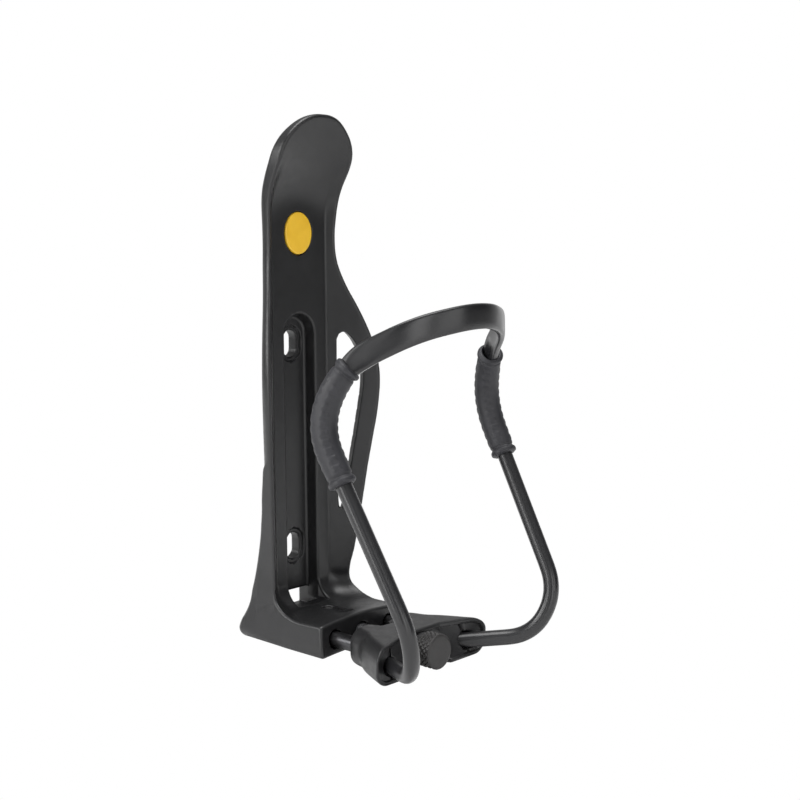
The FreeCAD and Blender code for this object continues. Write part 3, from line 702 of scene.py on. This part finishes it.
def make_knob():
    prof = [(KNOB_BACK, 2.55), (KNOB_BACK, 4.6)] + arc_pts(KNOB_BACK - 0.4, 4.75, 0.4, 0, 90, 4)[0:0]
    prof += [(KNOB_BACK - 0.02, 4.75), (KNOB_BACK - 0.45, KNOB_R)]
    side = dense([(KNOB_BACK - 0.45, KNOB_R), (KNOB_FRONT + 0.5, KNOB_R)], 0.09)
    prof = dense(prof, 0.5).tolist() + side.tolist()[1:]
    prof += [(KNOB_FRONT + 0.36, KNOB_R - 0.06), (KNOB_FRONT + 0.12, KNOB_R - 0.32), (KNOB_FRONT + 0.03, KNOB_R - 0.62),
             (KNOB_FRONT, KNOB_R - 0.9), (KNOB_FRONT - 0.0, 3.0), (KNOB_FRONT, 1.5), (KNOB_FRONT, 0.01)]
    ob = turned("adjuster_knob_knurled", prof, (0, SCREW_Z), 288, knob_shape, angle=None)
    return ob


knob_ob = make_knob()
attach(knob_ob, "adjuster")
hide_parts("adjuster_knob")


def thread_shape(Y, R, th):
    # single right-hand 0.8 mm thread on the part that enters the insert
    ph = (Y / 0.8 + th / (2 * math.pi)) % 1.0
    tri = np.abs(ph - 0.5) * 2
    on = step(-43.0, -42.0, Y) * step(-15.0, -16.2, Y) * (R > 2.3)
    return Y, R - on * 0.42 * (1 - np.clip(tri * 1.25 - 0.1, 0, 1))


def make_screw():
    prof = [(-59.5, 0.01), (-59.5, 2.4), (-59.4, 2.5), (-41.36, 2.5), (-41.36, 1.9), (-40.54, 1.9), (-40.54, 2.45)]
    body = dense([(-40.5, 2.5), (-15.6, 2.5)], 0.1).tolist()
    tail = [(-15.0, 1.95), (-15.0, 0.01)]
    return turned("adjuster_screw_threaded", prof + body + tail, (0, SCREW_Z), 48, thread_shape, angle=50)


screw_ob = make_screw()
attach(screw_ob, "adjuster")
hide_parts("adjuster_screw")

for sx, nm in ((1, "right"), (-1, "left")):
    p = [(-43.5, 0.01), (-43.5, 2.3), (-12.6, 2.3)] + arc_pts(-12.3, 1.6, 0.7, 90, 0, 6) + [(-11.6, 0.01)]
    ob = turned("guide_post_%s_turned" % nm, p, (sx * POST_X, POST_Z), 72)
    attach(ob, "slider")
    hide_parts("guide_post_%s" % nm)

w_prof = ([(KNOB_BACK, 2.6), (KNOB_BACK, 4.15)] + arc_pts(KNOB_BACK + 0.25, 4.15, 0.25, 180, 90, 4)
          + arc_pts(BLOCK_FRONT - 0.3, 4.15, 0.25, 90, 0, 4) + [(BLOCK_FRONT - 0.05, 3.3), (PANEL_Y - 0.05, 3.3), (PANEL_Y - 0.05, 2.6), (KNOB_BACK, 2.6)])
washer_ob = turned("knob_washer_turned", w_prof, (0, SCREW_Z), 72)
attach(washer_ob, "adjuster")
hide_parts("knob_washer")


def insert_shape(Y, R, th):
    on = (R > 2.95) * (1 - step(-26.0, -25.7, Y) * step(-23.9, -24.2, Y))
    return Y, R - on * 0.16 * (0.5 + 0.5 * np.cos(th * 32 + Y * 3.0)) * step(-29.2, -28.8, Y)


i_prof = dense([(-29.1, 2.56), (-29.1, 2.95), (-28.95, 3.1), (-25.6, 3.1), (-25.6, 2.8), (-24.2, 2.8), (-24.2, 3.1), (-19.7, 3.1), (-19.7, 2.56), (-29.1, 2.56)], 0.4)
insert_ob = turned("threaded_insert_knurled", i_prof, (0, SCREW_Z), 160, insert_shape)
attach(insert_ob, "frame_side")
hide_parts("threaded_insert")


# ------------------------------------------------------------------ the badge
def make_badge():
    """Plain oval inlay with a softly domed face."""
    m, rings = 96, []
    th = np.linspace(0, 2 * math.pi, m, endpoint=False)
    prof = [(-3.02, 0.001), (-3.02, 0.97), (-3.6, 0.975), (-4.05, 0.97), (-4.17, 0.955), (-4.23, 0.93), (-4.25, 0.88),
            (-4.25, 0.6), (-4.25, 0.3), (-4.25, 0.001)]
    co = []
    for y, k in prof:
        co.append(np.stack([5.58 * k * np.cos(th), np.full(m, y), 66.0 + 6.58 * k * np.sin(th)], 1))
    co = np.vstack(co)
    n = len(prof)
    i = np.arange(n - 1)[:, None]
    j = np.arange(m)[None, :]
    jn = (j + 1) % m
    f = np.stack([i * m + j, (i + 1) * m + j, (i + 1) * m + jn, i * m + jn], -1).reshape(-1, 4)
    return merged("badge_oval", co, f, 40)


badge_ob = make_badge()
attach(badge_ob, "frame_side")
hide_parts("badge")


# ---------------------------------------------------------------- materials
class Mat:
    def __init__(self, name):
        self.m = bpy.data.materials.new(name)
        self.m.use_nodes = True
        self.nt = self.m.node_tree
        self.b = self.nt.nodes["Principled BSDF"]
        self.co = self.nt.nodes.new("ShaderNodeTexCoord").outputs["Object"]

    def noise(self, scale, detail=3.0, rough=0.55, vec=None):
        n = self.nt.nodes.new("ShaderNodeTexNoise")
        n.inputs["Scale"].default_value = scale
        n.inputs["Detail"].default_value = detail
        n.inputs["Roughness"].default_value = rough
        self.nt.links.new(vec or self.co, n.inputs["Vector"])
        return n.outputs["Fac"]

    def ramp(self, fac, stops):
        r = self.nt.nodes.new("ShaderNodeValToRGB")
        el = r.color_ramp.elements
        while len(el) < len(stops):
            el.new(0.5)
        for e, (p, c) in zip(el, stops):
            e.position = p
            e.color = c if len(c) == 4 else (*c, 1)
        self.nt.links.new(fac, r.inputs["Fac"])
        return r.outputs["Color"]

    def mapr(self, fac, lo, hi, fmin=0.3, fmax=0.7):
        r = self.nt.nodes.new("ShaderNodeMapRange")
        r.inputs["From Min"].default_value = fmin
        r.inputs["From Max"].default_value = fmax
        r.inputs["To Min"].default_value = lo
        r.inputs["To Max"].default_value = hi
        self.nt.links.new(fac, r.inputs["Value"])
        return r.outputs["Result"]

    def math(self, op, a, b):
        n = self.nt.nodes.new("ShaderNodeMath")
        n.operation = op
        for i, v in enumerate((a, b)):
            if isinstance(v, (int, float)):
                n.inputs[i].default_value = v
            else:
                self.nt.links.new(v, n.inputs[i])
        return n.outputs[0]

    def mix(self, fac, a, b):
        n = self.nt.nodes.new("ShaderNodeMix")
        n.data_type = "RGBA"
        self.nt.links.new(fac, n.inputs["Factor"])
        for sock, v in ((n.inputs["A"], a), (n.inputs["B"], b)):
            if isinstance(v, tuple):
                sock.default_value = v if len(v) == 4 else (*v, 1)
            else:
                self.nt.links.new(v, sock)
        return n.outputs["Result"]

    def bump(self, height, strength, dist, normal=None):
        n = self.nt.nodes.new("ShaderNodeBump")
        n.inputs["Strength"].default_value = strength
        n.inputs["Distance"].default_value = dist
        self.nt.links.new(height, n.inputs["Height"])
        if normal is not None:
            self.nt.links.new(normal, n.inputs["Normal"])
        return n.outputs["Normal"]

    def set(self, name, v):
        s = self.b.inputs[name]
        if isinstance(v, (int, float, tuple)):
            s.default_value = v if not isinstance(v, tuple) or len(v) == 4 else (*v, 1)
        else:
            self.nt.links.new(v, s)


def moulded(name, col, rough, grain=0.05):
    """Satin injection-moulded nylon: fine spark-eroded grain, with roughness that varies at random."""
    m = Mat(name)
    big = m.noise(60.0, 3.0)
    fine = m.noise(3600.0, 2.0)
    mid = m.noise(420.0, 3.0)
    c0 = tuple(v * 0.86 for v in col)
    c1 = tuple(v * 1.16 for v in col)
    m.set("Base Color", m.ramp(big, [(0.3, c0), (0.7, c1)]))
    r = m.math("ADD", m.mapr(mid, rough - 0.05, rough + 0.05), m.mapr(fine, -0.03, 0.03))
    m.set("Roughness", r)
    m.set("Specular IOR Level", 0.5)
    n = m.bump(fine, 0.25, 0.00006)
    n = m.bump(mid, 0.12, 0.0001, n)
    m.set("Normal", n)
    return m.m


def assign(ob, mat):
    ob.data.materials.clear()
    ob.data.materials.append(mat)


plate_mat = moulded("plate_nylon", (0.012, 0.012, 0.0128), 0.36)
slider_mat = moulded("slider_nylon", (0.013, 0.013, 0.0138), 0.38)
assign(plate_ob, plate_mat)
assign(slider_ob, slider_mat)


def tube_material():
    m = Mat("tube_anodised")
    mid = m.noise(60.0, 0.0)
    m.set("Base Color", m.ramp(mid, [(0.3, (0.009, 0.009, 0.010)), (0.7, (0.013, 0.013, 0.0145))]))
    m.set("Metallic", 0.0)
    m.set("Roughness", m.mapr(mid, 0.275, 0.29))
    m.set("Specular IOR Level", 0.6)
    return m.m


assign(tube_ob, tube_material())


def rubber_material():
    m = Mat("sleeve_rubber")
    fine = m.noise(2400.0, 3.0)
    mid = m.noise(240.0, 3.0)
    m.set("Base Color", m.ramp(mid, [(0.3, (0.0135, 0.0135, 0.0165)), (0.7, (0.020, 0.020, 0.0245))]))
    m.set("Roughness", m.math("ADD", m.mapr(mid, 0.46, 0.58), m.mapr(fine, -0.04, 0.04)))
    m.set("Normal", m.bump(fine, 0.35, 0.0001))
    return m.m


rub = rubber_material()
for o in sleeves:
    assign(o, rub)


def knob_material():
    m = Mat("knob_plastic")
    fine = m.noise(3000.0, 3.0)
    mid = m.noise(300.0, 3.0)
    m.set("Base Color", m.ramp(mid, [(0.3, (0.017, 0.016, 0.016)), (0.7, (0.026, 0.024, 0.024))]))
    m.set("Roughness", m.math("ADD", m.mapr(mid, 0.42, 0.52), m.mapr(fine, -0.04, 0.04)))
    m.set("Normal", m.bump(fine, 0.25, 0.00006))
    return m.m


assign(knob_ob, knob_material())


def steel_material(name, col, rough, metallic=1.0):
    m = Mat(name)
    # turning marks run round the axis
    mp = m.nt.nodes.new("ShaderNodeMapping")
    mp.inputs["Scale"].default_value = (0.05, 1.0, 0.05)
    m.nt.links.new(m.co, mp.inputs["Vector"])
    turn = m.noise(6000.0, 2.0, vec=mp.outputs["Vector"])
    mid = m.noise(300.0, 3.0)
    c0 = tuple(v * 0.75 for v in col)
    m.set("Base Color", m.ramp(mid, [(0.3, c0), (0.7, col)]))
    m.set("Metallic", metallic)
    m.set("Roughness", m.math("ADD", m.mapr(mid, rough - 0.05, rough + 0.06), m.mapr(turn, -0.05, 0.05)))
    m.set("Normal", m.bump(turn, 0.2, 0.00004))
    return m.m


post_mat = steel_material("post_steel", (0.10, 0.10, 0.105), 0.34)
for nm in ("right", "left"):
    assign(bpy.data.objects["guide_post_%s_turned" % nm], post_mat)
assign(screw_ob, steel_material("screw_steel", (0.12, 0.12, 0.125), 0.36))
assign(insert_ob, steel_material("insert_steel", (0.05, 0.05, 0.052), 0.38))
assign(washer_ob, moulded("washer_plastic", (0.016, 0.016, 0.017), 0.45))
clip = NODES["retaining_clip"]
assign(clip, steel_material("clip_steel", (0.45, 0.45, 0.46), 0.32))


def badge_material():
    m = Mat("badge_plastic")
    fine = m.noise(1500.0, 3.0)
    mid = m.noise(220.0, 3.0)
    m.set("Base Color", m.ramp(mid, [(0.3, (0.86, 0.50, 0.025)), (0.7, (0.92, 0.56, 0.035))]))
    m.set("Roughness", m.mapr(mid, 0.34, 0.46))
    m.set("Coat Weight", 0.25)
    m.set("Coat Roughness", 0.2)
    m.set("Normal", m.bump(fine, 0.1, 0.00005))
    return m.m


assign(badge_ob, badge_material())


# ------------------------------------------------------------- stage, lights
def stage():
    """White sweep: even white to the eye, a pale bounce card to the object."""
    me = bpy.data.meshes.new("floor")
    s, z = 0.75, -0.0600
    me.from_pydata([(-s, -s, z), (s, -s, z), (s, s, z), (-s, s, z)], [], [(0, 1, 2, 3)])
    ob = bpy.data.objects.new("floor", me)
    bpy.context.scene.collection.objects.link(ob)
    m = Mat("floor")
    n = m.noise(8.0, 2.0)
    m.set("Base Color", m.ramp(n, [(0.3, (0.84, 0.84, 0.84)), (0.7, (0.86, 0.86, 0.86))]))
    m.set("Roughness", 0.9)
    m.set("Specular IOR Level", 0.1)
    lp = m.nt.nodes.new("ShaderNodeLightPath")
    em = m.nt.nodes.new("ShaderNodeEmission")
    em.inputs["Color"].default_value = (1, 1, 1, 1)
    em.inputs["Strength"].default_value = 1.0
    mx = m.nt.nodes.new("ShaderNodeMixShader")
    out = m.nt.nodes["Material Output"]
    m.nt.links.new(lp.outputs["Is Camera Ray"], mx.inputs[0])
    m.nt.links.new(m.b.outputs["BSDF"], mx.inputs[1])
    m.nt.links.new(em.outputs["Emission"], mx.inputs[2])
    m.nt.links.new(mx.outputs["Shader"], out.inputs["Surface"])
    me.materials.append(m.m)


stage()


def area(name, at, aim, size, power, size_y=None):
    l = bpy.data.lights.new(name, "AREA")
    l.energy = power
    l.shape = "RECTANGLE"
    l.size = size
    l.size_y = size_y or size
    ob = bpy.data.objects.new(name, l)
    bpy.context.scene.collection.objects.link(ob)
    from mathutils import Vector
    d = Vector(aim) - Vector(at)
    ob.location = at
    ob.rotation_euler = d.to_track_quat("-Z", "Y").to_euler()
    return ob


aim = (0.0, -0.04, 0.02)
area("overhead", (-0.1, -0.1, 1.25), aim, 0.9, 16.0, 0.9)
area("front", (0.10, -1.25, 0.22), aim, 0.4, 1.7, 0.7)
area("front_left", (-0.50, -1.14, 0.22), aim, 0.45, 2.6, 0.7)
area("left_front", (-1.10, -0.55, 0.25), aim, 0.3, 1.0, 0.7)
area("left_strip", (-1.15, 0.12, 0.25), aim, 0.42, 6.0, 0.9)
area("back_left", (-1.05, 0.75, 0.55), aim, 0.6, 7.0, 0.6)
area("right_rim", (1.1, 0.25, 0.25), aim, 0.25, 0.6, 0.8)

world = bpy.data.worlds.new("studio")
bpy.context.scene.world = world
world.use_nodes = True
wn = world.node_tree
bg = wn.nodes["Background"]
tc = wn.nodes.new("ShaderNodeTexCoord")
sp = wn.nodes.new("ShaderNodeSeparateXYZ")
wn.links.new(tc.outputs["Generated"], sp.inputs[0])
ra = wn.nodes.new("ShaderNodeValToRGB")
el = ra.color_ramp.elements
stops = [(0.0, 0.60), (0.40, 0.40), (0.47, 0.09), (0.52, 0.07), (0.66, 0.09), (0.88, 0.40), (1.0, 0.55)]
while len(el) < len(stops):
    el.new(0.5)
for e, (p_, c_) in zip(el, stops):
    e.position = p_
    e.color = (c_, c_, c_, 1)
mp = wn.nodes.new("ShaderNodeMapRange")
mp.inputs["From Min"].default_value = -1.0
mp.inputs["From Max"].default_value = 1.0
wn.links.new(sp.outputs["Z"], mp.inputs["Value"])
wn.links.new(mp.outputs["Result"], ra.inputs["Fac"])



def wmath(op, a, b):
    n = wn.nodes.new("ShaderNodeMath")
    n.operation = op
    for i, v in enumerate((a, b)):
        if isinstance(v, (int, float)):
            n.inputs[i].default_value = v
        else:
            wn.links.new(v, n.inputs[i])
    return n.outputs[0]


# a white backdrop stands behind the object, up to a height
side_on = wmath("ADD", wmath("MULTIPLY", sp.outputs["X"], 0.70), wmath("MULTIPLY", sp.outputs["Y"], 0.71))
behind = wn.nodes.new("ShaderNodeMapRange")
behind.interpolation_type = "SMOOTHSTEP"
behind.inputs["From Min"].default_value = 0.25
behind.inputs["From Max"].default_value = 0.75
wn.links.new(side_on, behind.inputs["Value"])
lowdown = wn.nodes.new("ShaderNodeMapRange")
lowdown.interpolation_type = "SMOOTHSTEP"
lowdown.inputs["From Min"].default_value = 0.75
lowdown.inputs["From Max"].default_value = 0.30
wn.links.new(sp.outputs["Z"], lowdown.inputs["Value"])
card = wn.nodes.new("ShaderNodeMix")
card.data_type = "RGBA"
card.inputs["B"].default_value = (0.55, 0.55, 0.55, 1)
wn.links.new(wmath("MULTIPLY", behind.outputs["Result"], lowdown.outputs["Result"]), card.inputs["Factor"])
wn.links.new(ra.outputs["Color"], card.inputs["A"])
lp = wn.nodes.new("ShaderNodeLightPath")
mixw = wn.nodes.new("ShaderNodeMix")
mixw.data_type = "RGBA"
mixw.inputs["B"].default_value = (1, 1, 1, 1)
wn.links.new(lp.outputs["Is Camera Ray"], mixw.inputs["Factor"])
wn.links.new(card.outputs["Result"], mixw.inputs["A"])
wn.links.new(mixw.outputs["Result"], bg.inputs["Color"])
bg.inputs["Strength"].default_value = 1.0


# ------------------------------------------------------------------- camera
def camera():
    from mathutils import Matrix, Vector
    az, el, roll = math.radians(47.40), math.radians(6.75), math.radians(-0.34)
    d = Vector((-math.sin(az) * math.cos(el), -math.cos(az) * math.cos(el), math.sin(el)))
    fwd = -d
    right = fwd.cross(Vector((0, 0, 1))).normalized()
    up = right.cross(fwd)
    r2 = right * math.cos(roll) + up * math.sin(roll)
    u2 = -right * math.sin(roll) + up * math.cos(roll)
    cam = bpy.data.cameras.new("camera")
    cam.lens = 59.78
    cam.sensor_width = 36.0
    cam.clip_start = 0.01
    ob = bpy.data.objects.new("camera", cam)
    bpy.context.scene.collection.objects.link(ob)
    m = Matrix.Identity(4)
    for i in range(3):
        m[i][0], m[i][1], m[i][2] = r2[i], u2[i], -fwd[i]
    m.translation = Vector((-0.2803, -0.30781, 0.06288))
    ob.matrix_world = m
    bpy.context.scene.camera = ob


camera()
vs = bpy.context.scene.view_settings
vs.view_transform = "Standard"
vs.look = "None"
vs.exposure = 0.0
